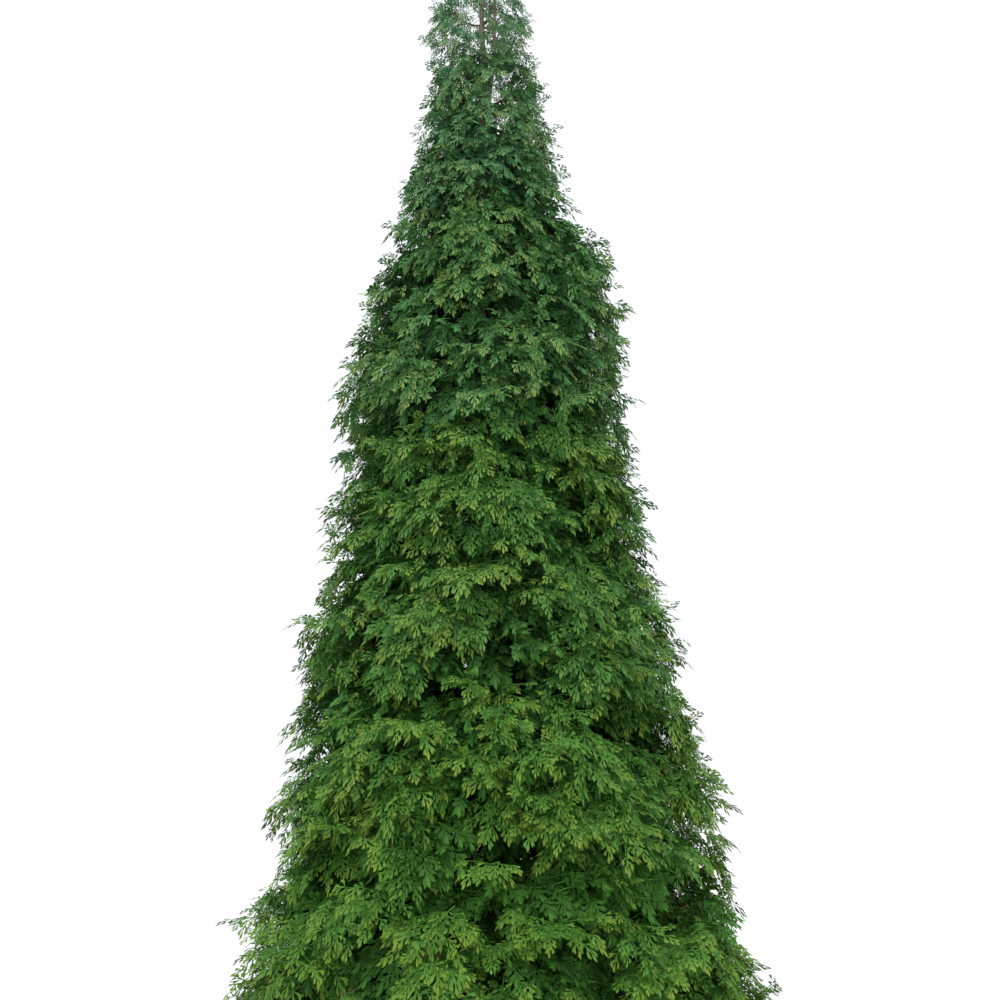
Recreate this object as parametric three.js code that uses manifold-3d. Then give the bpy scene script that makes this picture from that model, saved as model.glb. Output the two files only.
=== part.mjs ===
// An arborvitae: a dense, narrow conifer that is clothed in flat fan-shaped sprays from its foot to its tip.
// Millimetres, +Z up, front towards -Y. The origin is the centre of the flat cut under the trunk, on the ground.
// The crown is a stack of tiers round the trunk. Each tier arches outwards and is divided into sectors, and one
// mass of foliage keeps to each: a stem from the trunk, a smaller core, and twigs that end in toothed fans.

import * as THREE from "three";
import { mergeVertices } from "three/addons/utils/BufferGeometryUtils.js";
import Module from "manifold-3d";

const wasm = await Module();
wasm.setup();

// The whole tree
const TREE_HEIGHT = 8750; // where the crown's outline closes
const CROWN_RADIUS = 1870; // at the foot, to the middle of the fans
const CROWN_TAPER = 0.81; // power of the outline: below 1 it swells between foot and tip
const TREE_LEAN = -160; // sideways, from foot to tip
const SKIRT_HEIGHT = 90; // the lowest foliage above the ground

// The trunk
const TRUNK_HEIGHT = 8080;
const TRUNK_RADIUS = 127; // above the flare
const TRUNK_TIP_RADIUS = 9;
const TRUNK_TAPER = 0.9;
const FLARE_RADIUS = 76; // added by the root flare at the ground
const FLARE_HEIGHT = 170; // over which the flare dies away
const FLARE_LOBES = 5;
const FLARE_LOBE_DEPTH = 0.16; // of the radius
const TRUNK_SIDES = 15;
const TRUNK_STEPS = 12;

// Boughs that show in the crown: where each leaves the trunk, and its bend and tip beside the trunk's axis
const BOUGHS = {
  bough_second_leader: { from: 6850, bend: [85, -12, 7330], tip: [102, -12, 8030], radius: 19, tipRadius: 8 },
  bough_right_tuft: { from: 5060, bend: [330, -60, 5330], tip: [500, -90, 5660], radius: 22, tipRadius: 11 },
};
const BOUGH_SIDES = 6;
const BOUGH_STEPS = 6;
const BOUGH_ROOT = 0.5; // of the trunk's radius, how far from its axis a bough starts

// The tiers, from the foot up
const SECTORS = [6, 6, 6, 5, 5, 4, 4, 3, 3, 2]; // masses in each tier
const TIER_REACH = [1, 0.98, 0.98, 0.98, 1.02, 0.95, 0.88, 0.84, 1.08, 1.2]; // of the crown's radius
const TIER_HEIGHT = 1140; // of the lowest tier, at the crown's surface
const TIER_SHRINK = 66; // by which each tier is lower than the one below it
const TIER_RISE = 0.7; // how steeply a tier climbs outwards from the trunk
const TIER_ARCH = 0.9; // how strongly it arches over again towards the crown's surface
const MOST_ARCH = 1.2; // of the crown's radius, past which it arches no further
const WAVES = 4; // up and down again in each tier, round the tree
const WAVE_HEIGHT = 170; // of each, either way, at the crown's surface
const WAVE_RISE = 900; // of height, over which the waves turn by a radian
const LOWEST_LEVEL = -420; // where the lowest tier starts, under its own arch
const TIER_TURN = 0.37; // of a sector, by which each tier is turned from the one below
const FIRST_TURN = 0.5; // of a sector, by which the lowest tier is turned from +X
const SETTLING_STEPS = 8; // to find the height of a spot from its level
const SPACE_MARGIN = 16; // each mass keeps this far inside its own space

// Tiers whose first sector faces a given way, in degrees, or whose sectors meet beside the trunk's axis
const TIER_FACING = { 5: 0, 9: 0 };
const TIER_SHIFT = { 9: 55 };

// Masses that differ, by tier and sector: the limb whose tip bears them, how far out they start, stop or reach,
// how many twigs they have, the size of their fans beside the others', and their seed
const SPECIAL = {
  "0 1": { seed: 1002 },
  "2 4": { seed: 2205 },
  "5 0": { within: 430, reach: 0.4, fanSize: 0.6 },
  "5 tuft": { name: "foliage_right_tuft", bough: "bough_right_tuft", beyond: 440, reach: 1.16, twigs: 8 },
  "9 0": { name: "foliage_second_leader", bough: "bough_second_leader", twigs: 6 },
  "9 1": { name: "foliage_leader", bough: "trunk", twigs: 8, seed: 1902 },
};

// The fans
const FAN_LENGTH_LEAST = 180;
const FAN_LENGTH_SHARE = 0.28; // of the crown's radius, added to the least length
const FAN_LENGTH_RANGE = [0.85, 1.1]; // of that, from fan to fan
const FAN_FINGERS = [0.68, 0.92, 1, 0.92, 0.68]; // lengths of the fingers, of the fan's length
const FAN_SPREAD = 66; // degrees from the middle finger to the outermost
const FAN_NOTCH = 0.66; // how deep the notches leave the fan, of its fingers
const FAN_CENTRE = 0.42; // of its length, where it is thickest
const FAN_THICKNESS = 0.06; // of its length
const FAN_DROOP = 0.3; // of its length, by which the tips hang
const FAN_PITCH_RANGE = [-62, 28]; // degrees above level that a fan points
const FAN_YAW = 0.4; // radians, either way, that a fan is turned from straight outwards
const FAN_ROLL = 0.7; // radians, either way, that a fan is rolled about its own axis
const FAN_INSIDE = 0.72; // of its length, the part of a fan inside the crown's outline
const FAN_SPACING = 0.52; // of a fan's length, from one fan's middle to the next
const FAN_MIDDLE = 0.55; // of its length, where that middle is

// The twigs and stems
const TWIGS_AT_FOOT = 8; // in a mass of the lowest tier
const TWIGS_AT_TIP = 5;
const TWIG_TRIES = 80; // places tried for each twig before it is skipped
const TWIG_RADIUS = 0.024; // of the fan's length
const TWIG_TIP_RADIUS = 0.017;
const TWIG_CHECKS = 6; // spots along a twig that must lie in its space
const TWIG_SECTION = [[-1, -0.6], [1, -0.6], [0, 1.15]]; // across and above, for a radius of 1
const STEM_RADIUS = 24; // at the foot of the tree
const STEM_RADIUS_AT_TIP = 9; // at its tip
const STEM_TAPER = 0.6;
const STEM_LEVEL = 0.45; // of the tier's height
const STEM_REACH = 0.6; // of the crown's radius
const STEM_RANGE = [0.35, 0.97]; // the share of a stem that twigs leave from
const STEM_LEAST_HEIGHT = 220; // above the ground
const TIP_STEM_LENGTH = 330; // of a stem that goes on from a limb's tip
const CLEARANCE = 0.3; // between a mass and the limb that bears it
const LIMB_MARGIN = 12; // between a leaf or twig and a limb that it passes
const LIMB_CHECK_STEP = 40; // between the spots of a limb that leaves are kept clear of

// The cores
const CORE_SIDES = 8;
const CORE_RINGS = 4;
const CORE_MIDDLE = 0.43; // of the crown's radius
const CORE_DEPTH = 0.27; // either way from there
const CORE_WIDTH = 0.47; // of the sector, either way
const CORE_HEIGHT = 0.46; // of the tier, either way
const CORE_SQUARENESS = 4; // power of the rounded box that a core is like
const CORE_ROUGHNESS = 0.3; // by how much of its depth and height a corner may fall short

// What merging does to the solids
const FINEST_DETAILS = [1.5, 1, 0.6, 0.3]; // edges shorter than the first that serves are merged away
const FINEST_CUT = 0.02; // and shorter than this where a mass is cut clear of a limb
const SAME_PLACE = 1e-3; // corners nearer than this are one

const BARK = new THREE.MeshStandardMaterial({ color: 0x5b4636, roughness: 0.95, metalness: 0 });
const FOLIAGE_AT_FOOT = new THREE.Color(0x55801f);
const FOLIAGE_AT_TIP = new THREE.Color(0x3f6b33);
const FOLIAGE_ROUGHNESS = 0.75;

const UP = new THREE.Vector3(0, 0, 1);
const ALONG_X = new THREE.Vector3(1, 0, 0);
const FULL_TURN = 2 * Math.PI;

// Numbers from 0 to 1 that are the same on every run
function seeded(seed) {
  let state = seed * 7919 + 17;
  return () => {
    state = (Math.imul(1664525, state) + 1013904223) >>> 0;
    return state / 2 ** 32;
  };
}

const radians = (degrees) => (degrees * Math.PI) / 180;
const mix = (a, b, t) => a + (b - a) * t;
const clamp = (x, least, most) => Math.min(Math.max(x, least), most);
const fraction = (x) => x - Math.floor(x);

// The outline, as functions of height

const crownRadius = (z) => CROWN_RADIUS * Math.max(0, 1 - z / TREE_HEIGHT) ** CROWN_TAPER;
const leanAt = (z) => (TREE_LEAN * z) / TREE_HEIGHT;
const fanLength = (z) => FAN_LENGTH_LEAST + FAN_LENGTH_SHARE * crownRadius(z);

function trunkRadius(z) {
  const above = Math.max(0, 1 - z / TRUNK_HEIGHT) ** TRUNK_TAPER;
  return mix(TRUNK_TIP_RADIUS, TRUNK_RADIUS, above) + FLARE_RADIUS * Math.exp(-z / FLARE_HEIGHT);
}

// A point from its distance and bearing round the trunk's axis, and its height
function round(distance, bearing, z) {
  return new THREE.Vector3(leanAt(z) + distance * Math.cos(bearing), distance * Math.sin(bearing), z);
}

// Solids

// A geometry with nothing but its corners, each once
function bare(geometry) {
  geometry.deleteAttribute("normal");
  geometry.deleteAttribute("uv");
  return mergeVertices(geometry, SAME_PLACE);
}

function solidOf(geometry) {
  const merged = bare(geometry);
  const vertProperties = merged.attributes.position.array;
  const triVerts = new Uint32Array(merged.index.array);
  return new wasm.Manifold(new wasm.Mesh({ numProp: 3, vertProperties, triVerts }));
}

function geometryOf(solid) {
  const { numProp, numVert, vertProperties, triVerts } = solid.getMesh();
  const position = new Float32Array(numVert * 3);
  for (let i = 0; i < numVert; i++) position.set(vertProperties.subarray(i * numProp, i * numProp + 3), i * 3);
  const geometry = new THREE.BufferGeometry();
  geometry.setAttribute("position", new THREE.BufferAttribute(position, 3));
  geometry.setIndex(new THREE.BufferAttribute(triVerts, 1));
  const flat = geometry.toNonIndexed();
  flat.computeVertexNormals();
  return flat;
}

// Two directions square to a limb's own: beside it, and over it on the reference's side
function squareTo(along, reference = UP) {
  const side = new THREE.Vector3().crossVectors(reference, along).normalize();
  return [side, new THREE.Vector3().crossVectors(along, side)];
}

// A round limb along a curve. radiusAt takes the share of the way along it.
function limbSolid(curve, radiusAt, sides, steps) {
  const tube = new THREE.CylinderGeometry(1, 1, 1, sides, steps);
  const position = tube.attributes.position;
  const along = curve.getPoint(1).sub(curve.getPoint(0)).normalize();
  const [side, over] = squareTo(along, Math.abs(along.z) > 0.9 ? ALONG_X : UP);
  for (let i = 0; i < position.count; i++) {
    const share = position.getY(i) + 0.5;
    const radius = radiusAt(share);
    const place = curve.getPoint(share);
    place.addScaledVector(side, radius * position.getZ(i)).addScaledVector(over, radius * position.getX(i));
    position.setXYZ(i, place.x, place.y, place.z);
  }
  return solidOf(tube);
}

// The trunk, or the room that it needs with a clearance round it
function trunkSolid(clearance) {
  const shaft = new THREE.CylinderGeometry(1, 1, 1, TRUNK_SIDES, TRUNK_STEPS);
  const position = shaft.attributes.position;
  for (let i = 0; i < position.count; i++) {
    const share = position.getY(i) + 0.5;
    const z = TRUNK_HEIGHT * share ** 2; // closer steps at the flare
    const bearing = Math.atan2(position.getX(i), position.getZ(i));
    const lobe = 1 + FLARE_LOBE_DEPTH * Math.cos(FLARE_LOBES * bearing) * Math.exp(-z / FLARE_HEIGHT);
    const radius = trunkRadius(z) * lobe + clearance;
    const out = radius * Math.hypot(position.getX(i), position.getZ(i));
    const end = share === 1 ? clearance : share === 0 ? -clearance : 0;
    position.setXYZ(i, leanAt(z) - out * Math.sin(bearing), out * Math.cos(bearing), z + end);
  }
  return solidOf(shaft);
}

function boughCurve({ from, bend, tip }) {
  const place = ([x, y, z]) => new THREE.Vector3(leanAt(z) + x, y, z);
  const start = round(0, 0, from);
  const out = place(bend).sub(start).setZ(0).normalize();
  start.addScaledVector(out, trunkRadius(from) * BOUGH_ROOT);
  return new THREE.CatmullRomCurve3([start, place(bend), place(tip)]);
}

function boughSolid(bough, clearance) {
  const taper = (share) => mix(bough.radius, bough.tipRadius, share) + clearance;
  return limbSolid(boughCurve(bough), taper, BOUGH_SIDES, BOUGH_STEPS);
}

// The fan's rim, from one outermost finger to the other, as [along, across, above]
function fanRim(length) {
  const spots = [];
  const last = FAN_FINGERS.length - 1;
  for (let i = 0; i <= 2 * last; i++) {
    const [before, after] = [FAN_FINGERS[Math.floor(i / 2)], FAN_FINGERS[Math.ceil(i / 2)]];
    const reach = length * (i % 2 === 0 ? before : Math.min(before, after) * FAN_NOTCH);
    const angle = radians(mix(-FAN_SPREAD, FAN_SPREAD, i / (2 * last)));
    spots.push([reach * Math.cos(angle), reach * Math.sin(angle), (-FAN_DROOP * reach * reach) / length]);
  }
  return spots;
}

// A spot of a frond's fan, from how far along, across and above its root it is
function fanSpot({ root, axis, face }, [along, across, above]) {
  const [side] = squareTo(axis, face);
  return root.clone().addScaledVector(axis, along).addScaledVector(side, across).addScaledVector(face, above);
}

// A three-sided twig that opens into a domed fan with fingers, as one closed skin
function frondSolid(frond) {
  const { start, root, face, length } = frond;
  const [startSide, startOver] = squareTo(root.clone().sub(start).normalize(), face);
  const base = TWIG_SECTION.map(([across, above]) => {
    const thick = TWIG_RADIUS * length;
    return start.clone().addScaledVector(startSide, across * thick).addScaledVector(startOver, above * thick);
  });
  const neck = TWIG_SECTION.map(([across, above]) => {
    const thin = TWIG_TIP_RADIUS * length;
    return fanSpot(frond, [0, across * thin, above * thin]);
  });
  const rim = fanRim(length).map((spot) => fanSpot(frond, spot));
  const bulge = (FAN_THICKNESS / 2) * length;
  const domes = [bulge, -bulge].map((above) => fanSpot(frond, [FAN_CENTRE * length, 0, above]));

  const firstRim = base.length + neck.length;
  const lastRim = firstRim + rim.length - 1;
  const [top, bottom] = [lastRim + 1, lastRim + 2];
  const faces = [[0, 2, 1], [bottom, 3, 4], [top, 4, 5], [top, 5, 3]];
  for (const [a, b] of [[0, 1], [1, 2], [2, 0]]) faces.push([b + 3, a + 3, a], [b + 3, a, b]);
  faces.push([top, 3, firstRim], [bottom, firstRim, 3], [top, lastRim, 4], [bottom, 4, lastRim]);
  for (let i = firstRim; i < lastRim; i++) faces.push([top, i, i + 1], [bottom, i + 1, i]);

  const geometry = new THREE.BufferGeometry().setFromPoints([...base, ...neck, ...rim, ...domes]);
  geometry.setIndex(faces.flat());
  return solidOf(geometry);
}

// The crown's spaces

// What a tier has climbed at a distance and bearing from the trunk, near a height
function climb(z, distance, bearing) {
  const share = Math.min(distance / Math.max(crownRadius(z), 1), MOST_ARCH);
  const wave = WAVE_HEIGHT * share * Math.sin(WAVES * bearing + z / WAVE_RISE);
  return TIER_RISE * distance * (1 - TIER_ARCH * share * share) + wave * (1 - z / TREE_HEIGHT);
}

// The level at which a tier starts. A point's level is its height less what its tier has climbed there.
function tierBase(tier) {
  const z = SKIRT_HEIGHT + tier * TIER_HEIGHT - (TIER_SHRINK * tier * (tier - 1)) / 2;
  return tier === 0 ? LOWEST_LEVEL : z - TIER_RISE * (1 - TIER_ARCH) * crownRadius(z);
}

// The spot in a mass at a level, a bearing and a share of the crown's radius
function spotAt(mass, level, bearing, share) {
  let z = level;
  let distance = 0;
  for (let i = 0; i < SETTLING_STEPS; i++) {
    distance = Math.min(crownRadius(z) * share, mass.within);
    z = level + climb(z, distance, bearing);
  }
  return { distance, z };
}

// Every mass, with its space, its limb and its seed
function massList() {
  const list = [];
  SECTORS.forEach((count, tier) => {
    const width = FULL_TURN / count;
    const facing = tier in TIER_FACING ? radians(TIER_FACING[tier]) : (FIRST_TURN + tier * TIER_TURN) * width;
    const plan = (sector, key, number) =>
      list.push({
        name: `foliage_tier${tier + 1}_${number}`,
        tier,
        middle: facing + sector * width,
        width,
        shift: TIER_SHIFT[tier] ?? 0,
        low: tierBase(tier),
        high: tier === SECTORS.length - 1 ? TREE_HEIGHT : tierBase(tier + 1),
        reach: TIER_REACH[tier],
        within: Infinity,
        beyond: 0,
        fanSize: 1,
        seed: 100 * tier + number,
        ...SPECIAL[key],
      });
    for (let sector = 0; sector < count; sector++) plan(sector, `${tier} ${sector}`, sector + 1);
    if (`${tier} tuft` in SPECIAL) plan(0, `${tier} tuft`, count + 1);
  });
  return list;
}

function inSpace(mass, point) {
  const x = point.x - leanAt(point.z);
  const distance = Math.hypot(x, point.y);
  const level = point.z - climb(point.z, distance, Math.atan2(point.y, x));
  const turn = fraction((Math.atan2(point.y, x - mass.shift) - mass.middle) / FULL_TURN + 0.5) - 0.5;
  const spare = Math.min(mass.width / 2 - Math.abs(turn) * FULL_TURN, Math.PI / 2);
  return (
    level > mass.low + SPACE_MARGIN &&
    level < mass.high - SPACE_MARGIN &&
    Math.hypot(x - mass.shift, point.y) * Math.sin(spare) > SPACE_MARGIN &&
    distance > mass.beyond &&
    distance < mass.within &&
    point.z > SKIRT_HEIGHT / 2
  );
}

// Spots along the limbs with the radius there, to keep twigs and leaves clear of
function limbSpots() {
  const spots = [];
  for (let z = 0; z <= TRUNK_HEIGHT; z += LIMB_CHECK_STEP) spots.push([round(0, 0, z), trunkRadius(z)]);
  for (const bough of Object.values(BOUGHS)) {
    const curve = boughCurve(bough);
    const steps = Math.ceil(curve.getLength() / LIMB_CHECK_STEP);
    for (let i = 0; i <= steps; i++) spots.push([curve.getPoint(i / steps), bough.radius]);
  }
  return spots;
}

const LIMB_SPOTS = limbSpots();

const clearOfLimbs = (point) =>
  LIMB_SPOTS.every(([place, radius]) => place.distanceTo(point) > radius + LIMB_MARGIN);

// The growth rule

// The stem of a mass: out from the trunk to the middle of its space, or on from the tip of its limb
function stemOf(mass, reach) {
  if (!mass.bough) {
    const level = mix(mass.low, mass.high, STEM_LEVEL);
    const startZ = Math.max(level, STEM_LEAST_HEIGHT);
    const { distance, z } = spotAt(mass, level, mass.middle, STEM_REACH * reach);
    const start = round(trunkRadius(startZ) * BOUGH_ROOT, mass.middle, startZ);
    return new THREE.LineCurve3(start, round(distance, mass.middle, Math.max(z, startZ)));
  }
  const trunkCurve = new THREE.LineCurve3(round(0, 0, 0), round(0, 0, TRUNK_HEIGHT));
  const limb = mass.bough === "trunk" ? trunkCurve : boughCurve(BOUGHS[mass.bough]);
  const along = limb.getTangent(1);
  const start = limb.getPoint(1).addScaledVector(along, CLEARANCE);
  return new THREE.LineCurve3(start, start.clone().addScaledVector(along, TIP_STEM_LENGTH));
}

// The last twig of a stem that goes on from a limb's tip: its fan stands on the stem's own end
function endTwig(stem) {
  const axis = stem.getTangent(1);
  const root = stem.getPoint(1);
  return { start: stem.getPoint(STEM_TAPER), root, axis, face: squareTo(axis)[1], length: fanLength(root.z) };
}

// One try at a twig: it leaves the stem, aims at a place near the crown's surface and ends in a fan.
// The two steps that share neither a factor nor a pattern spread the twigs of a mass evenly.
function twigTry(mass, stem, reach, number, count, random) {
  const across = fraction(0.5 + 0.7549 * number) + mix(-0.25, 0.25, random());
  const upward = fraction(0.5 + 0.5698 * number) + mix(-0.2, 0.2, random());
  const level = mix(mass.low, mass.high, clamp(upward, 0.04, 0.96));
  const bearing = mass.middle + mass.width * (clamp(across, 0.03, 0.97) - 0.5);
  const spot = spotAt(mass, level, bearing, reach);
  const length = fanLength(spot.z) * mass.fanSize * mix(...FAN_LENGTH_RANGE, random());
  const target = round(spot.distance, bearing, Math.max(spot.z, SKIRT_HEIGHT + 0.5 * length));
  const yaw = bearing + mix(-FAN_YAW, FAN_YAW, random());
  const pitch = radians(mix(...FAN_PITCH_RANGE, random()));
  const outwards = new THREE.Vector3(Math.cos(yaw), Math.sin(yaw), 0);
  const axis = outwards.multiplyScalar(Math.cos(pitch)).addScaledVector(UP, Math.sin(pitch));
  const root = target.addScaledVector(axis, -FAN_INSIDE * length);
  const [side, over] = squareTo(axis);
  const roll = mix(-FAN_ROLL, FAN_ROLL, random());
  const face = over.multiplyScalar(Math.cos(roll)).addScaledVector(side, Math.sin(roll));
  const start = stem.getPoint(mix(...STEM_RANGE, fraction((number + 0.5) / count + 0.1 * random())));
  return { start, root, axis, face, length };
}

const fanMiddle = ({ root, axis, length }) => root.clone().addScaledVector(axis, FAN_MIDDLE * length);

function twigFits(mass, twig, others) {
  const tooNear = (other) => fanMiddle(twig).distanceTo(fanMiddle(other)) < FAN_SPACING * twig.length;
  if (others.some(tooNear)) return false;
  const centre = fanSpot(twig, [FAN_CENTRE * twig.length, 0, 0]);
  const spots = [centre];
  for (const place of fanRim(twig.length)) {
    const spot = fanSpot(twig, place);
    spots.push(spot, spot.clone().lerp(centre, 0.5));
  }
  for (let i = 0; i <= TWIG_CHECKS; i++) spots.push(twig.start.clone().lerp(twig.root, i / TWIG_CHECKS));
  return spots.every((spot) => inSpace(mass, spot) && clearOfLimbs(spot));
}

function twigsOf(mass, stem, reach, random) {
  const share = mass.tier / (SECTORS.length - 1);
  const count = mass.twigs ?? Math.round(mix(TWIGS_AT_FOOT, TWIGS_AT_TIP, share));
  const twigs = mass.bough ? [endTwig(stem)].filter((twig) => twigFits(mass, twig, [])) : [];
  for (let number = 0; number < count; number++) {
    for (let attempt = 0; attempt < TWIG_TRIES; attempt++) {
      const twig = twigTry(mass, stem, reach, number, count, random);
      if (twigFits(mass, twig, twigs)) {
        twigs.push(twig);
        break;
      }
    }
  }
  return twigs;
}

// The dense inside of a mass: a rough lump that follows its space
function coreSolid(mass, reach, random) {
  const lump = bare(new THREE.SphereGeometry(1, CORE_SIDES, CORE_RINGS));
  const position = lump.attributes.position;
  const middle = mix(mass.low, mass.high, 0.5);
  for (let i = 0; i < position.count; i++) {
    const spot = new THREE.Vector3().fromBufferAttribute(position, i);
    const powers = spot.toArray().map((x) => Math.abs(x) ** CORE_SQUARENESS);
    const norm = (powers[0] + powers[1] + powers[2]) ** (1 / CORE_SQUARENESS);
    const fall = mix(1 - CORE_ROUGHNESS, 1, random());
    spot.divideScalar(norm).multiply(new THREE.Vector3(fall, fall, 1));
    const level = middle + spot.y * CORE_HEIGHT * (mass.high - mass.low);
    const bearing = mass.middle - spot.z * CORE_WIDTH * mass.width;
    const { distance, z } = spotAt(mass, level, bearing, reach * (CORE_MIDDLE + CORE_DEPTH * spot.x));
    const place = round(distance, bearing, Math.max(z, SKIRT_HEIGHT));
    position.setXYZ(i, place.x, place.y, place.z);
  }
  return solidOf(lump);
}

// Whether two sheets of a solid meet along an edge, which merging short edges can bring about
function hasDoubledEdge(solid) {
  const { vertProperties, triVerts } = solid.getMesh();
  const corner = (i) => Array.from(vertProperties.subarray(3 * i, 3 * i + 3), (x) => x.toFixed(3)).join();
  const seen = new Set();
  for (let i = 0; i < triVerts.length; i += 3) {
    const corners = Array.from(triVerts.subarray(i, i + 3), corner);
    if (new Set(corners).size < 3) continue;
    for (let side = 0; side < 3; side++) {
      const edge = `${corners[side]} ${corners[(side + 1) % 3]}`;
      if (seen.has(edge)) return true;
      seen.add(edge);
    }
  }
  return false;
}

// A cut can leave a loose scrap, which is dropped
function largestOf(solid) {
  return solid.decompose().reduce((best, piece) => (piece.volume() > best.volume() ? piece : best));
}

// A mass, cut clear of the limbs. A last twig that spoils the solid is left out.
function massSolid(mass, limbRoom) {
  const random = seeded(mass.seed);
  const reach = mix(0.96, 1.04, random()) * mass.reach;
  const stem = stemOf(mass, reach);
  const stemRadius = mix(STEM_RADIUS, STEM_RADIUS_AT_TIP, mass.tier / (SECTORS.length - 1));
  const fronds = twigsOf(mass, stem, reach, random).map(frondSolid);
  const inside = [limbSolid(stem, (along) => stemRadius * mix(1, STEM_TAPER, along), 4, 1)];
  if (!mass.bough) inside.push(coreSolid(mass, reach, random));
  for (let kept = fronds.length; kept >= 0; kept--) {
    const fused = wasm.Manifold.union([...inside, ...fronds.slice(0, kept)]);
    for (const detail of FINEST_DETAILS) {
      const solid = largestOf(fused.simplify(detail).subtract(limbRoom).simplify(FINEST_CUT));
      if (!hasDoubledEdge(solid)) return solid;
    }
  }
  throw new Error(`${mass.name} has no sound solid`);
}

// The tree

const tree = new THREE.Group();

function add(name, solid, material) {
  const mesh = new THREE.Mesh(geometryOf(solid), material);
  mesh.name = name;
  tree.add(mesh);
}

const trunkRoom = trunkSolid(CLEARANCE);
const boughRooms = Object.values(BOUGHS).map((bough) => boughSolid(bough, CLEARANCE));
const limbRoom = wasm.Manifold.union([trunkRoom, ...boughRooms]);

add("trunk", trunkSolid(0), BARK);
for (const [name, bough] of Object.entries(BOUGHS)) add(name, boughSolid(bough, 0).subtract(trunkRoom), BARK);
for (const mass of massList()) {
  const color = FOLIAGE_AT_FOOT.clone().lerp(FOLIAGE_AT_TIP, mass.tier / (SECTORS.length - 1));
  const leaves = new THREE.MeshStandardMaterial({ color, roughness: FOLIAGE_ROUGHNESS, metalness: 0 });
  add(mass.name, massSolid(mass, limbRoom), leaves);
}

export default tree;
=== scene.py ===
# An arborvitae, clothed in drooping sprays of scale leaves from its foot to its tip.
# Metres, +Z up, front towards -Y. The trunk and the boughs that show are modelled with their bark. The
# foliage grows on from them by a seeded rule: stems, twigs and fronds, then side branches and their sprays.

import math
from types import SimpleNamespace

import bpy
import numpy as np
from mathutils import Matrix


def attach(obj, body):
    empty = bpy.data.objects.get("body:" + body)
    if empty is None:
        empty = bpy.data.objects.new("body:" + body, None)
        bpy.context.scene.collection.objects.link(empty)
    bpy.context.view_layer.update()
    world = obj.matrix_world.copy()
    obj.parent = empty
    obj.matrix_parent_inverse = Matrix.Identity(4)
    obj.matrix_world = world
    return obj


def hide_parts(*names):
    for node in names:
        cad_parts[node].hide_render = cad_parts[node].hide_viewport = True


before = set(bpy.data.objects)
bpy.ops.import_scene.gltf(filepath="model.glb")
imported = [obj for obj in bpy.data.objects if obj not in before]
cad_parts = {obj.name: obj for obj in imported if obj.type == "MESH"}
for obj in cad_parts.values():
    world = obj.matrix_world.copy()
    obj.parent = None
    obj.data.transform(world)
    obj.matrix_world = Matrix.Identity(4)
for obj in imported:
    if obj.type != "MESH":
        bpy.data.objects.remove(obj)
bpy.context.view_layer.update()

# The whole tree
TREE_HEIGHT = 8.75  # where the crown's outline closes
CROWN_RADIUS = 1.87  # at the foot, to the middle of the fronds
CROWN_TAPER = 0.81  # power of the outline
LEAST_CROWN_RADIUS = 0.001  # by which distances are divided at the very tip
TREE_LEAN = -0.16  # sideways, from foot to tip
SKIRT_HEIGHT = 0.09  # of the lowest foliage above the ground
LOWEST_FROND = SKIRT_HEIGHT / 2  # no frond reaches lower, though its sprays may

# The trunk
TRUNK_HEIGHT = 8.08
TRUNK_RADIUS = 0.127  # above the flare
TRUNK_TIP_RADIUS = 0.009
TRUNK_TAPER = 0.9
FLARE_RADIUS = 0.076  # added by the root flare at the ground
FLARE_HEIGHT = 0.17  # over which the flare dies away
FLARE_LOBES = 5
FLARE_LOBE_DEPTH = 0.16  # of the radius

# Boughs that show: where each leaves the trunk, and its bend and tip beside the trunk's axis
BOUGHS = {
    "bough_second_leader": {
        "start": 6.85, "bend": (0.085, -0.012, 7.33), "tip": (0.102, -0.012, 8.03), "radii": (0.019, 0.008),
    },
    "bough_right_tuft": {
        "start": 5.06, "bend": (0.33, -0.06, 5.33), "tip": (0.5, -0.09, 5.66), "radii": (0.022, 0.011),
    },
}
BOUGH_ROOT = 0.5  # of the trunk's radius, how far from its axis a bough starts
BOUGH_STRETCH = 1.2  # a bough's length, of the height that it climbs
BOUGH_NEAR_TIP = 0.9999  # of its length, from where its tip's direction is taken

# The tiers of the crown, from the foot up, and the masses of foliage in each
SECTORS = (6, 6, 6, 5, 5, 4, 4, 3, 3, 2)
TIER_REACH = (1, 0.98, 0.98, 0.98, 1.02, 0.95, 0.88, 0.84, 1.08, 1.2)  # of the crown's radius
TIER_HEIGHT = 1.14  # of the lowest tier, at the crown's surface
TIER_SHRINK = 0.066  # by which each tier is lower than the one below it
TIER_RISE = 0.7  # how steeply a tier climbs outwards from the trunk
TIER_ARCH = 0.9  # how strongly it arches over again towards the crown's surface
MOST_ARCH = 1.2  # of the crown's radius, past which it arches no further
WAVES = 4  # up and down again in each tier, round the tree
WAVE_HEIGHT = 0.17  # of each, either way, at the crown's surface
WAVE_RISE = 0.9  # of height, over which the waves turn by a radian
LOWEST_LEVEL = -0.42  # where the lowest tier starts, under its own arch
TIER_TURN = 0.37  # of a sector, by which each tier is turned from the one below
FIRST_TURN = 0.5  # of a sector, by which the lowest tier is turned from +X
SETTLING_STEPS = 8  # to find the height of a spot from its level
SPACE_MARGIN = 0.016  # each mass keeps this far inside its own space
TIER_FACING = {5: 0, 9: 0}  # degrees that the first sector of these tiers faces
TIER_SHIFT = {9: 0.055}  # beside the trunk's axis, where the sectors of these tiers meet
REACH_RANGE = (0.96, 1.04)  # of a tier's reach, from mass to mass

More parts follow.
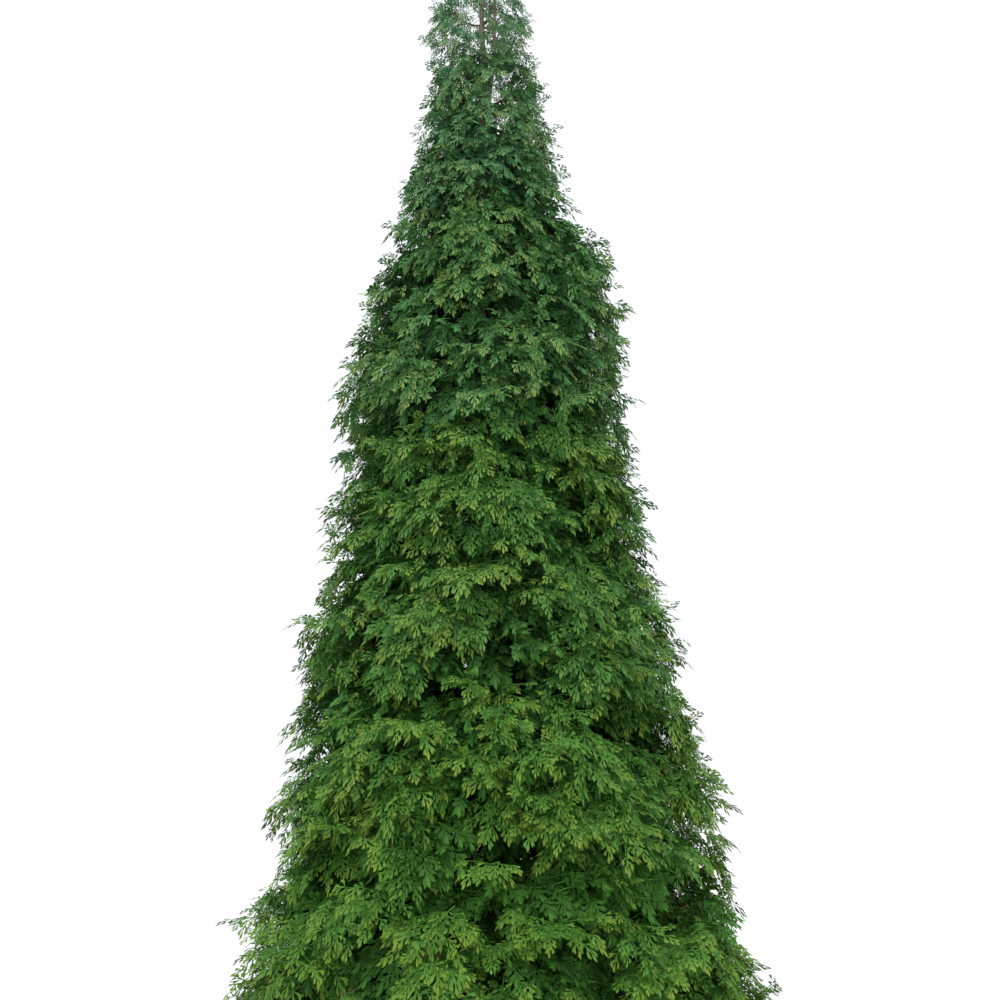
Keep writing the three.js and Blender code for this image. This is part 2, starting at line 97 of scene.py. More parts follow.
# Masses that differ, by tier and sector
SPECIAL = {
    (0, 1): {"seed": 1002},
    (2, 4): {"seed": 2205},
    (5, 0): {"within": 0.43, "reach": 0.4, "fan_size": 0.6},
    (5, "tuft"): {
        "name": "foliage_right_tuft", "bough": "bough_right_tuft", "beyond": 0.44, "reach": 1.16, "twigs": 8,
    },
    (9, 0): {"name": "foliage_second_leader", "bough": "bough_second_leader", "twigs": 6},
    (9, 1): {"name": "foliage_leader", "bough": "trunk", "twigs": 8, "seed": 1902},
}

# The fronds, which are the outer ends of the branches
FROND_LENGTH_LEAST = 0.18
FROND_LENGTH_SHARE = 0.28  # of the crown's radius, added to the least length
FROND_FINGERS = (0.68, 0.92, 1, 0.92, 0.68)  # reach at even steps across a frond, of its length
FROND_SPREAD = math.radians(66)  # from its axis to the outermost finger
FROND_NOTCH = 0.66  # reach between two fingers, of the shorter one's
FROND_CENTRE = 0.42  # of its length, where the fingers join
FROND_DROOP = 0.3  # of its length, by which the tips hang
FROND_YAW = 0.4  # radians either way, by which it turns from straight outwards
FROND_ROLL = 0.7  # radians either way, about its axis
FROND_INSIDE = 0.72  # of its length, the part inside the crown's outline
FROND_MIDDLE = 0.55  # of its length
FROND_SPACING = 0.52  # of its length, between the middles of two

# The places at which the fronds of a mass aim, one after the other. The two steps share neither a factor nor
# a pattern, so they spread the fronds evenly.
ACROSS_STEP = 0.7549  # of the mass's width
UPWARD_STEP = 0.5698  # of its height
ACROSS_STRAY = 0.25  # of the mass's width, either way
UPWARD_STRAY = 0.2  # of its height
ACROSS_MARGIN = 0.03  # left free at either side
UPWARD_MARGIN = 0.04  # left free above and below
AIM_HEIGHT = 0.5  # of a frond's length, from the skirt's height up to the lowest place at which it aims

# Three kinds of frond. Sizes are shares of a frond's length, pitches are degrees above level, and depths are
# shares of the mass's reach.
MAIN_FRONDS = SimpleNamespace(sizes=(0.85, 1.1), pitches=(-62, 28))
SMALLER_FRONDS = SimpleNamespace(sizes=(0.42, 0.68), pitches=(-60, 18), depths=(0.6, 1.0), coarse=False)
INNER_FRONDS = SimpleNamespace(sizes=(0.9, 1.2), pitches=(-60, 40), depths=(0.4, 0.86), coarse=True)

# The twigs and stems
TWIGS_AT_FOOT = 8  # in a mass of the lowest tier
TWIGS_AT_TIP = 5  # in a mass of the highest tier
TWIG_TRIES = 80
TWIG_CHECKS = 6  # steps along a twig, where it is checked
END_FROND_START = 0.6  # of a stem's length, where the frond on its end starts
STEM_LEVEL = 0.45  # of a mass's height
STEM_REACH = 0.6  # of a mass's reach
STEM_RANGE = (0.35, 0.97)  # of a stem's length, where twigs leave it
STEM_STRAY = 0.1  # of that range, by which a twig leaves it further on
STEM_LEAST_HEIGHT = 0.22  # above the ground, where it starts
TIP_STEM_LENGTH = 0.33
CLEARANCE = 0.0003  # from a limb's tip to the stem that goes on from it
LIMB_MARGIN = 0.012  # fronds keep this far from limbs
LIMB_CHECK_STEP = 0.04

# The finer growth, in each tier: smaller fronds between the main ones, and coarse ones inside
SMALLER_DENSITY = (1.7, 1.7, 1.6, 1.6, 1.6, 1.5, 1.3, 1.2, 0.85, 0.75)  # squared lengths over the surface
SMALLER_SPACING = 0.3  # of its length, between the middles of two
SMALLER_TRIES = 20
INNER_SHARE = (0.5, 0.5, 0.48, 0.48, 0.46, 0.4, 0.26, 0.08, 0, 0)  # of the smaller ones' number

# Side branches
BRANCH_SPACING = 0.09  # along a frond
FEWEST_BRANCHES = 2  # on either side
BRANCH_SPARE = 0.2  # of a spacing, left free before the frond's tip
BRANCH_RANGE = (0.04, 0.78)  # of a frond's length, where they leave its axis
BRANCH_LIFT = 0.05  # to either side of the frond's face, at a branch's tip
BRANCH_BEND = 0.12  # of how far it reaches aside
BRANCH_BEND_BACK = 0.3  # of that bend, how far it goes back towards the frond's foot
BRANCH_TURNS = (0.9, 1.05)  # of its angle
BRANCH_REACHES = (0.86, 1)  # of the frond's reach at that angle
BRANCH_SWING = 0.75  # power by which branches stand out less towards a frond's tip
BRANCH_LEAST_REACH = 0.02  # aside
BRANCH_LEAST_TIP = 0.8  # of how far along the frond its foot is, at the least
BRANCH_SHARES = (0, 0.5, 1)  # of the way along a branch, where its points are
AXIS_POINTS = 5  # along a frond's own axis
BRANCH_STAGGER = {-1: 0.8, 1: 0.3}  # of a spacing, on either side of the axis
TUCK = 0.55  # of a spray's length, by which branches end short of a frond's rim

# Sprays
SPRAY_LENGTH = (0.085, 0.055)  # on the smallest frond, and how much of a frond's length is added
SPRAY_LENGTH_MOST = 0.12
SPRAY_SIZE = (1, 1, 1, 1, 1, 1, 0.92, 0.76, 0.66, 0.64)  # beside that, in each tier
SPRAY_SPACING = (0.5, 0.5, 0.5, 0.5, 0.5, 0.5, 0.5, 0.5, 0.54, 0.54)  # of its length, in each tier
SPRAY_GAPS = (0.7, 1.2)  # of that spacing
SPRAY_ANGLE = math.radians(42)  # from its branch
SPRAY_TURNS = (0.7, 1.3)  # of that angle
SPRAY_OUTWARDS = 0.6  # how strongly sprays turn away from the trunk
SPRAY_STRAY = 0.35  # how strongly they turn at random
SPRAY_DIP = (-0.2, 0.48)  # how strongly they turn down
SPRAY_ROLL = 0.5  # how strongly their faces turn at random
FACE_OUTWARDS = 0.6  # how strongly their faces turn outwards, of how strongly they turn up
FACE_OF_FROND = 0.4  # how strongly they turn as their frond's face does
SPRAY_SIZES = (0.8, 1.12)  # from spray to spray
SPRAY_DROOP = (0.2, 0.65)  # by how much of its length a spray's tip hangs
FOOT_OF_SPRAYS = 0.12  # of a branch, the part without any
TWIG_SPRAYS = (3, 3, 3, 3, 3, 3, 2, 1, 0, 0)  # on each twig inside the crown, in each tier
TWIG_SPRAY_RANGE = (0.3, 0.85)  # of the twig
TWIG_SPRAY_DIP = 0.3  # how strongly they turn down
COARSE_SPRAY = 1.35  # the length of a coarse spray inside the crown, beside the others'
LOWEST_LEAF = 0.02  # above the ground
SPRAY_VARIANTS = 10
SPRAY_CAMBER = 0.35  # how strongly a spray curves down to both sides

# Their leaflets, as shares of a spray's length: foot, length and width of the two along its middle, and foot,
# angle and length of the fingers to each side
MIDDLE_LEAFLET = (0, 0.65, 0.12)
END_LEAFLET = (0.54, 0.44, 0.17)
FINGERS = ((0.07, 1.05, 0.56), (0.36, 0.7, 0.49))
FINGER_STAGGER = 0.06
FINGER_SWING = 0.12  # either way, by which their angles vary
FINGER_LENGTHS = (0.85, 1.15)
FINGER_WIDTH = 0.15
YOUNG_FOOT = 0.42  # of its finger, where each young tip branches off
YOUNG_LENGTH = 0.6  # of its finger
YOUNG_ANGLES = (0.35, 0.55)  # from its finger, towards the spray's middle
YOUNG_WIDTH = 0.13
COARSE_FINGERS = ((0.05, 1.05, 0.5), (0.25, 0.8, 0.5), (0.45, 0.5, 0.45))
COARSE_WIDTH = 0.22
WIDEST = 0.64  # of a leaflet's length, so that its end is blunt
FOLD = 0.3  # of a leaflet's width, by which its edges hang below its ridge

# How pale a spray is: 0 for the shaded green, 1 for the deep one, 2 for the plain one. Its young tips are one
# tint fresher than that.
TONE = 1.3  # at the crown's surface
TONE_INWARDS = 3.0  # painted shade: by how much it falls with depth, so sprays deeper in the crown get darker greens
TONE_SPREAD = (0.35, 0.3, 0.45)  # from frond to frond, branch to branch and spray to spray
TIP_TONE = 1.3  # by how much it rises from a branch's foot to its tip
EVEN_TONE_PLACE = 0.6  # of the branch, where that adds nothing
COARSE_TONES = (-2, 0.2)  # of the coarse sprays inside the crown, whose darkest greens are painted shade

# Thickness
STEM_RADII = (0.021, 0.008)  # where a mass's stem starts, in the lowest tier and the highest
STEM_THINNING = 0.5  # of that radius, where the stem ends
STEM_SAG = 0.03
STEM_POINTS = 6  # along it
TWIG_RADII = (0.016, 0.01)  # of its frond's length, where a twig starts and ends
TWIG_BOW = 0.04  # of its length
TWIG_POINTS = 5  # along it
AXIS_RADIUS = 0.01  # of a frond's length, where its axis starts
BRANCH_RADIUS = 0.007  # of a frond's length, where a branch starts
SHOOT_TIP_RADIUS = 0.0025  # where either ends
SHOOT_DROP = 0.006  # by which shoots lie under their sprays
LIMB_SIDES = 6
TWIG_SIDES = 3
NEARLY_UPRIGHT = 0.9  # rise of a row whose rings are turned by +X instead of by up

# The mesh of the trunk and of the boughs that show, and the depth and width of the ridges in their bark
TRUNK_RINGS = 90
TRUNK_RINGS_POWER = 1.4  # by which rings crowd towards the foot
TRUNK_SIDES = 48
TRUNK_RELIEF = (0.012, 0.012)
BOUGH_RINGS = 30
BOUGH_SIDES = 14
BOUGH_RELIEF = (0.003, 0.004)
RIDGE_STRETCH = 9  # length of the ridges, of their width
RIDGE_DETAIL = 2  # levels of finer ridges
SMOOTH_BELOW = math.radians(50)  # edges sharper than this stay sharp

# The parts of the crown that are joined: first tier, last tier, and how strongly painted sky glare lightens
# and blues their greens
PARTS_OF_CROWN = {
    "foot": (0, 0, 0),
    "skirt": (1, 1, 0.04),
    "lower": (2, 3, 0.14),
    "middle": (4, 5, 0.42),
    "upper": (6, 7, 0.7),
    "spire": (8, 9, 0.95),
}

# The floor, the light and the camera
FLOOR_SIZE = 160
FLOOR_COLOUR = (0.78, 0.78, 0.77)
SKY_COLOUR = (0.95, 0.97, 1.0)
SKY_STRENGTH = 1.1
SUN_STRENGTH = 1.3
SUN_ANGLE = math.radians(55)
SUN_PLACE = (-4, -6, 14)
SUN_TURN = (math.radians(24), math.radians(-14), 0)
VIEW_DISTANCE = 12
EYE_HEIGHT = 1.6
VIEW_PITCH = math.radians(10.73)  # above level
LENS = 60
SENSOR = 36
VIEW_END = 400

# The finishes: how many patches, strips and the like there are to a metre, their stretch and their relief
LEAF_PATCHES = 2.3
LEAF_FLECKS = 48
LEAF_SCALES = 330
LEAF_RELIEF = 0.0008
BARK_STRIPS = 26
STRIP_STRETCH = (1, 1, 0.09)
BARK_THREADS = 120
THREAD_STRETCH = (1, 1, 0.05)
BARK_WEATHER = 3.1
BARK_RELIEF = 0.006

# The seeded numbers: where they start for a seed, and each from the one before it
SEED_FACTOR = 7919
SEED_START = 17
DRAW_FACTOR = 1664525
DRAW_STEP = 1013904223
DRAW_RANGE = 2**32

UP = np.array((0.0, 0.0, 1.0))
ORIGIN = (0, 0, 0)
UNTURNED = (0, 0, 0)
FULL_TURN = 2 * math.pi


# The rule by which the masses grow


def seeded(seed):
    """Numbers from 0 to 1 that are the same on every run."""
    state = seed * SEED_FACTOR + SEED_START

    def draw():
        nonlocal state
        state = (DRAW_FACTOR * state + DRAW_STEP) % DRAW_RANGE
        return state / DRAW_RANGE

    return draw


def mix(a, b, t):
    """From one value to another."""
    return a + (b - a) * t


def clamp(x, least, most):
    return min(max(x, least), most)


def fraction(x):
    """What is left of a number past its whole part."""
    return x - np.floor(x)


def unit(vector):
    return vector / np.linalg.norm(vector)


def crown_radius(z):
    """The crown's radius at a height."""
    return CROWN_RADIUS * np.maximum(0, 1 - z / TREE_HEIGHT) ** CROWN_TAPER


def lean_at(z):
    """How far the trunk has leant aside at a height."""
    return TREE_LEAN * z / TREE_HEIGHT


def frond_length(z):
    """The length of the fronds at a height."""
    return FROND_LENGTH_LEAST + FROND_LENGTH_SHARE * crown_radius(z)


def trunk_radius(z):
    """The trunk's radius at a height, with the flare at its foot."""
    above = np.maximum(0, 1 - z / TRUNK_HEIGHT) ** TRUNK_TAPER
    return mix(TRUNK_TIP_RADIUS, TRUNK_RADIUS, above) + FLARE_RADIUS * np.exp(-z / FLARE_HEIGHT)


def around(distance, bearing, z):
    """A point from its distance and bearing round the trunk's axis, and its height."""
    return np.array((lean_at(z) + distance * math.cos(bearing), distance * math.sin(bearing), z))


def square_to(along, reference=UP):
    """Beside a direction, and over it on the reference's side."""
    side = unit(np.cross(reference, along))
    return side, np.cross(along, side)


def bough_points(bough):
    """The three points that a bough's curve passes."""
    bend, tip = (np.array((lean_at(z) + x, y, z)) for x, y, z in (bough["bend"], bough["tip"]))
    start = around(0, 0, bough["start"])
    out = unit((bend - start) * (1, 1, 0))
    return np.array((start + out * trunk_radius(bough["start"]) * BOUGH_ROOT, bend, tip))


def on_bough(bough, share):
    """The place at a share of the way along a bough: a centripetal curve through its three points."""
    start, bend, tip = bough_points(bough)
    points = (2 * start - bend, start, bend, tip, 2 * tip - bend)
    number = min(int(share * 2), 1)
    t = share * 2 - number
    before, here, there, after = points[number:number + 4]
    gaps = [math.sqrt(np.linalg.norm(b - a)) for a, b in ((before, here), (here, there), (there, after))]
    leave = (here - before) / gaps[0] - (there - before) / (gaps[0] + gaps[1]) + (there - here) / gaps[1]
    arrive = (there - here) / gaps[1] - (after - here) / (gaps[1] + gaps[2]) + (after - there) / gaps[2]
    leave, arrive = leave * gaps[1], arrive * gaps[1]
    square = -3 * here + 3 * there - 2 * leave - arrive
    cube = 2 * here - 2 * there + leave + arrive
    return here + t * (leave + t * (square + t * cube))


def climb(z, distance, bearing):
    """What a tier has climbed at a distance and bearing from the trunk."""
    share = np.minimum(distance / np.maximum(crown_radius(z), LEAST_CROWN_RADIUS), MOST_ARCH)
    wave = WAVE_HEIGHT * share * np.sin(WAVES * bearing + z / WAVE_RISE)
    return TIER_RISE * distance * (1 - TIER_ARCH * share * share) + wave * (1 - z / TREE_HEIGHT)


def tier_base(tier):
    """The level at which a tier starts."""
    z = SKIRT_HEIGHT + tier * TIER_HEIGHT - TIER_SHRINK * tier * (tier - 1) / 2
    return LOWEST_LEVEL if tier == 0 else z - TIER_RISE * (1 - TIER_ARCH) * crown_radius(z)


def spot_at(mass, level, bearing, share):
    """The distance and height of a spot from its level, bearing and share of the crown's radius."""
    z = level
    distance = 0
    for _ in range(SETTLING_STEPS):
        distance = min(crown_radius(z) * share, mass.within)
        z = level + climb(z, distance, bearing)
    return distance, z


def mass_list():
    """Every mass of foliage, with its space, its limb and its seed."""
    masses = []
    for tier, count in enumerate(SECTORS):
        width = FULL_TURN / count
        facing = (FIRST_TURN + tier * TIER_TURN) * width
        if tier in TIER_FACING:
            facing = math.radians(TIER_FACING[tier])
        last = tier == len(SECTORS) - 1
        plans = [(sector, sector) for sector in range(count)]
        if (tier, "tuft") in SPECIAL:
            plans.append((0, "tuft"))
        for number, (sector, key) in enumerate(plans, 1):
            mass = SimpleNamespace(
                name=f"foliage_tier{tier + 1}_{number}",
                tier=tier,
                middle=facing + sector * width,
                width=width,
                shift=TIER_SHIFT.get(tier, 0),
                low=tier_base(tier),
                high=TREE_HEIGHT if last else tier_base(tier + 1),
                reach=TIER_REACH[tier],
                within=math.inf,
                beyond=0,
                fan_size=1,
                bough=None,
                twigs=round(mix(TWIGS_AT_FOOT, TWIGS_AT_TIP, tier / (len(SECTORS) - 1))),
                seed=100 * tier + number,
            )
            vars(mass).update(SPECIAL.get((tier, key), {}))
            masses.append(mass)
    return masses


def in_space(mass, points):
    """Whether all of the points lie in a mass's space."""
    x = points[:, 0] - lean_at(points[:, 2])
    y = points[:, 1]
    distance = np.hypot(x, y)
    level = points[:, 2] - climb(points[:, 2], distance, np.arctan2(y, x))
    turn = fraction((np.arctan2(y, x - mass.shift) - mass.middle) / FULL_TURN + 0.5) - 0.5
    spare = np.minimum(mass.width / 2 - np.abs(turn) * FULL_TURN, math.pi / 2)
    return (
        (level > mass.low + SPACE_MARGIN)
        & (level < mass.high - SPACE_MARGIN)
        & (np.hypot(x - mass.shift, y) * np.sin(spare) > SPACE_MARGIN)
        & (distance > mass.beyond)
        & (distance < mass.within)
        & (points[:, 2] > LOWEST_FROND)
    ).all()


def limb_spots():
    """Spots along the limbs, and the radius there, to keep twigs and leaves clear of."""
    heights = np.arange(0, TRUNK_HEIGHT, LIMB_CHECK_STEP)
    spots = [around(0, 0, z) for z in heights]
    radii = list(trunk_radius(heights))
    for bough in BOUGHS.values():
        steps = math.ceil((bough["tip"][2] - bough["start"]) * BOUGH_STRETCH / LIMB_CHECK_STEP)
        spots += [on_bough(bough, i / steps) for i in range(steps + 1)]
        radii += [bough["radii"][0]] * (steps + 1)
    return np.array(spots), np.array(radii)


LIMB_PLACES, LIMB_RADII = limb_spots()


def clear_of_limbs(points):
    """Whether all of the points keep their distance from the limbs."""
    gaps = np.linalg.norm(points[:, None] - LIMB_PLACES, axis=2)
    return (gaps > LIMB_RADII + LIMB_MARGIN).all()


def stem_of(mass, reach):
    """The two ends of a mass's stem: out from the trunk, or on from the tip of its limb."""
    if mass.bough is None:
        level = mix(mass.low, mass.high, STEM_LEVEL)
        start_z = max(level, STEM_LEAST_HEIGHT)
        distance, z = spot_at(mass, level, mass.middle, STEM_REACH * reach)
        start = around(trunk_radius(start_z) * BOUGH_ROOT, mass.middle, start_z)
        return start, around(distance, mass.middle, max(z, start_z))
    if mass.bough == "trunk":
        tip = around(0, 0, TRUNK_HEIGHT)
        along = unit(tip)
    else:
        bough = BOUGHS[mass.bough]
        tip = on_bough(bough, 1)
        along = unit(tip - on_bough(bough, BOUGH_NEAR_TIP))
    start = tip + along * CLEARANCE
    return start, start + along * TIP_STEM_LENGTH


def frond(start, root, axis, face, length):
    """A frond and the twig that carries it from its start on the stem."""
    return SimpleNamespace(
        start=start,
        root=root,
        axis=axis,
        side=square_to(axis, face)[0],
        face=face,
        length=length,
        middle=root + axis * FROND_MIDDLE * length,
        depth=1,
        coarse=False,
    )


def on_frond(it, along, across, above=0.0):
    """A place on a frond, from the root of its axis."""
    return it.root + it.axis * along + it.side * across + it.face * above


def frond_rim(it):
    """The frond's rim, from one outermost finger to the other."""
    last = len(FROND_FINGERS) - 1
    spots = []
    for i in range(2 * last + 1):
        before, after = FROND_FINGERS[i // 2], FROND_FINGERS[(i + 1) // 2]
        reach = it.length * (before if i % 2 == 0 else min(before, after) * FROND_NOTCH)
        angle = mix(-FROND_SPREAD, FROND_SPREAD, i / (2 * last))
        droop = -FROND_DROOP * reach * reach / it.length
        spots.append(on_frond(it, reach * math.cos(angle), reach * math.sin(angle), droop))
    return spots


def end_frond(stem):
    """The frond that stands on the end of a stem that goes on from a limb's tip."""
    start, end = stem
    axis = unit(end - start)
    return frond(mix(start, end, END_FROND_START), end, axis, square_to(axis)[1], frond_length(end[2]))


def frond_try(kind, mass, stem, reach, number, count, draw):
    """One try at a frond: its twig leaves the stem and aims at a place near the crown's surface."""
    across = fraction(0.5 + ACROSS_STEP * number) + mix(-ACROSS_STRAY, ACROSS_STRAY, draw())
    upward = fraction(0.5 + UPWARD_STEP * number) + mix(-UPWARD_STRAY, UPWARD_STRAY, draw())
    level = mix(mass.low, mass.high, clamp(upward, UPWARD_MARGIN, 1 - UPWARD_MARGIN))
    bearing = mass.middle + mass.width * (clamp(across, ACROSS_MARGIN, 1 - ACROSS_MARGIN) - 0.5)
    distance, z = spot_at(mass, level, bearing, reach)
    length = frond_length(z) * mass.fan_size * mix(*kind.sizes, draw())
    target = around(distance, bearing, max(z, SKIRT_HEIGHT + AIM_HEIGHT * length))
    yaw = bearing + mix(-FROND_YAW, FROND_YAW, draw())
    pitch = math.radians(mix(*kind.pitches, draw()))
    axis = np.array((math.cos(yaw) * math.cos(pitch), math.sin(yaw) * math.cos(pitch), math.sin(pitch)))
    side, over = square_to(axis)
    roll = mix(-FROND_ROLL, FROND_ROLL, draw())
    face = over * math.cos(roll) + side * math.sin(roll)
    start = mix(*stem, mix(*STEM_RANGE, fraction((number + 0.5) / count + STEM_STRAY * draw())))
    return frond(start, target - axis * FROND_INSIDE * length, axis, face, length)


def apart(it, others, spacing):
    """Whether a frond's middle is a share of its length or more from the others' middles."""
    return all(np.linalg.norm(it.middle - other.middle) > spacing * it.length for other in others)


def frond_spots(it):
    """Spots all over a frond, and spots along its twig."""
    centre = on_frond(it, FROND_CENTRE * it.length, 0)
    rim = frond_rim(it)
    fan = np.array([centre, *rim, *(mix(spot, centre, 0.5) for spot in rim)])
    twig = np.array([mix(it.start, it.root, i / TWIG_CHECKS) for i in range(TWIG_CHECKS + 1)])
    return fan, twig


def fits(mass, it):
    """Whether a frond and its twig keep wholly to their mass's space, and clear of the limbs."""
    spots = np.concatenate(frond_spots(it))
    return in_space(mass, spots) and clear_of_limbs(spots)


def fits_between(mass, it):
    """Whether a smaller frond aims into its mass's space, and keeps clear of the ground and the limbs."""
    fan, twig = frond_spots(it)
    if not in_space(mass, np.array([on_frond(it, FROND_INSIDE * it.length, 0)])):
        return False
    return fan[:, 2].min() > LOWEST_FROND and clear_of_limbs(np.concatenate((fan, twig)))


def smaller_count(mass):
    """How many smaller fronds cover a mass's share of the crown's surface."""
    height = (mass.low + mass.high) / 2
    length = frond_length(height) * sum(SMALLER_FRONDS.sizes) / 2
    area = (mass.high - mass.low) * crown_radius(height) * mass.reach * mass.width
    return round(SMALLER_DENSITY[mass.tier] * area / length**2)


def grow_between(kind, mass, stem, reach, count, draw, others):
    """Fronds of a kind, each at its own depth in the crown and apart from the others."""
    fronds = []
    for number in range(count):
        for _ in range(SMALLER_TRIES):
            depth = mix(*kind.depths, math.sqrt(draw()))
            it = frond_try(kind, mass, stem, reach * depth, number, count, draw)
            if apart(it, others + fronds, SMALLER_SPACING) and fits_between(mass, it):
                it.depth = depth
                it.coarse = kind.coarse
                fronds.append(it)
                break
    return fronds


def fronds_of(mass, stem, reach, draw):
    """The mass's main fronds, then smaller ones between them and coarse ones inside."""
    fronds = []
    if mass.bough and fits(mass, end_frond(stem)):
        fronds.append(end_frond(stem))
    for number in range(mass.twigs):
        for _ in range(TWIG_TRIES):
            it = frond_try(MAIN_FRONDS, mass, stem, reach, number, mass.twigs, draw)
            if apart(it, fronds, FROND_SPACING) and fits(mass, it):
                fronds.append(it)
                break
    count = smaller_count(mass)
    smaller = grow_between(SMALLER_FRONDS, mass, stem, reach, count, draw, fronds)
    inner_count = round(INNER_SHARE[mass.tier] * count)
    inner = grow_between(INNER_FRONDS, mass, stem, reach, inner_count, draw, [])
    return fronds + smaller + inner


# The finer growth


def rim_reach(angle):
    """How far a frond reaches at an angle from its axis, of its length."""
    steps = np.linspace(-FROND_SPREAD, FROND_SPREAD, len(FROND_FINGERS))
    return float(np.interp(angle, steps, FROND_FINGERS))


def drooped(it, along, across):
    """A place on a frond's drooping face."""
    reach = math.hypot(along, across)
    return on_frond(it, along, across, -FROND_DROOP * reach * reach / it.length)


def bent(foot, bend, tip, share):
    """The place at a share of the way along a curve with one bend."""
    return (1 - share) ** 2 * foot + 2 * share * (1 - share) * bend + share**2 * tip


def branches_of(it, spray_length, rng):
    """The frond's own axis and its side branches, each a row of points from its foot to its tip."""
    tuck = TUCK * spray_length
    places = np.linspace(0, it.length - tuck, AXIS_POINTS)
    rows = [np.array([drooped(it, along, 0) for along in places])]
    count = max(FEWEST_BRANCHES, round(it.length / BRANCH_SPACING))
    for hand, stagger in BRANCH_STAGGER.items():
        for i in range(count):
            share = (i + stagger) / (count + BRANCH_SPARE)
            foot = np.array((mix(*BRANCH_RANGE, share) * it.length, 0))
            angle = hand * FROND_SPREAD * (1 - share) ** BRANCH_SWING * rng.uniform(*BRANCH_TURNS)
            reach = rim_reach(angle) * it.length * rng.uniform(*BRANCH_REACHES) - tuck
            tip = reach * np.array((math.cos(angle), math.sin(angle)))
            if tip[0] < foot[0] * BRANCH_LEAST_TIP or abs(tip[1]) < BRANCH_LEAST_REACH:
                continue
            bend = (foot + tip) / 2 + BRANCH_BEND * abs(tip[1]) * np.array((-BRANCH_BEND_BACK, hand))
            lift = rng.normal() * BRANCH_LIFT * it.face
            row = [drooped(it, *bent(foot, bend, tip, t)) + t * lift for t in BRANCH_SHARES]
            rows.append(np.array(row))
    return rows


def leaflet(foot, angle, length, width):
    """A folded kite: its foot, an edge, its tip and the other edge."""
    along = np.array((math.cos(angle), math.sin(angle)))
    beside = np.array((-along[1], along[0])) * width / 2
    widest = foot + along * length * WIDEST
    places = np.array((foot, widest + beside, foot + along * length, widest - beside))
    heights = np.array((0, -FOLD * width, 0, -FOLD * width)) - SPRAY_CAMBER * places[:, 1] ** 2
    return np.column_stack((places, heights))


def spray_shape(number, coarse):
    """A flat spray, one unit long: its leaflets, and which of them are young tips."""
    rng = np.random.default_rng(number)
    leaflets, young = [], []
    for is_young, (foot, length, width) in enumerate((MIDDLE_LEAFLET, END_LEAFLET)):
        angle = is_young * rng.uniform(-FINGER_SWING, FINGER_SWING)
        leaflets.append(leaflet(np.array((foot, 0)), angle, length, width))
        young.append(bool(is_young))
    for hand in (-1, 1):
        for place, turn, finger_length in COARSE_FINGERS if coarse else FINGERS:
            foot = np.array((place + FINGER_STAGGER * hand, 0))
            angle = hand * (turn + rng.uniform(-FINGER_SWING, FINGER_SWING))
            length = finger_length * rng.uniform(*FINGER_LENGTHS)
            leaflets.append(leaflet(foot, angle, length, COARSE_WIDTH if coarse else FINGER_WIDTH))
            young.append(False)
            if not coarse:
                branching = foot + YOUNG_FOOT * length * np.array((math.cos(angle), math.sin(angle)))
                inward = angle - hand * rng.uniform(*YOUNG_ANGLES)
                leaflets.append(leaflet(branching, inward, YOUNG_LENGTH * length, YOUNG_WIDTH))
                young.append(True)
    return np.array(leaflets), np.array(young)


def sprays_on(row, face, spacing, rng):
    """Where sprays sit on a branch: at its tip, then to either side back along it."""
    gaps = np.linalg.norm(np.diff(row, axis=0), axis=1)
    whole = gaps.sum()
    along = np.concatenate(((0,), np.cumsum(gaps)))
    place, hand = whole, 0
    while place >= FOOT_OF_SPRAYS * whole:
        root = np.array([np.interp(place, along, row[:, i]) for i in range(3)])
        ahead = unit(row[-1] - row[0]) if place < 0.5 * whole else unit(row[-1] - row[-2])
        side = np.cross(face, ahead)
        turn = hand * SPRAY_ANGLE * rng.uniform(*SPRAY_TURNS)
        yield root, unit(ahead * math.cos(turn) + side * math.sin(turn)), place / whole
        place -= spacing * rng.uniform(*SPRAY_GAPS)
        hand = rng.choice((-1, 1)) if hand == 0 else -hand


class Tubes:
    """Tapering tubes of a few sides, gathered as corners and faces."""

    def __init__(self):
        self.corners = []
        self.faces = []

    def add(self, row, thick, thin, sides=TWIG_SIDES):
        """One along a row of points."""
        ahead = np.gradient(row, axis=0)
        ahead /= np.linalg.norm(ahead, axis=1)[:, None]
        side = np.cross(UP if abs(ahead[0][2]) < NEARLY_UPRIGHT else (1, 0, 0), ahead)
        side /= np.linalg.norm(side, axis=1)[:, None]
        over = np.cross(ahead, side)
        turns = FULL_TURN * np.arange(sides)[:, None] / sides
        radii = np.linspace(thick, thin, len(row))[:, None, None]
        rings = row[:, None] + radii * (side[:, None] * np.cos(turns) + over[:, None] * np.sin(turns))
        numbers = len(self.corners) + np.arange(len(row) * sides).reshape(-1, sides)
        self.corners.extend(rings.reshape(-1, 3))
        beyond = np.roll(numbers, -1, axis=1)
        walls = np.stack((numbers[:-1], beyond[:-1], beyond[1:], numbers[1:]), axis=2)
        self.faces.extend(walls.reshape(-1, 4).tolist())
        self.faces.extend((numbers[0][::-1].tolist(), numbers[-1].tolist()))


def curve_between(start, end, pull, count):
    """A row of points from one place to another, pulled aside in the middle."""
    shares = np.linspace(0, 1, count)[:, None]
    return start * (1 - shares) + end * shares + pull * 4 * shares * (1 - shares)


def spray(root, ahead, face, length, tone, coarse):
    """A spray, before it gets its leaflets."""
    return SimpleNamespace(root=root, ahead=ahead, face=face, length=length, tone=tone, coarse=coarse)


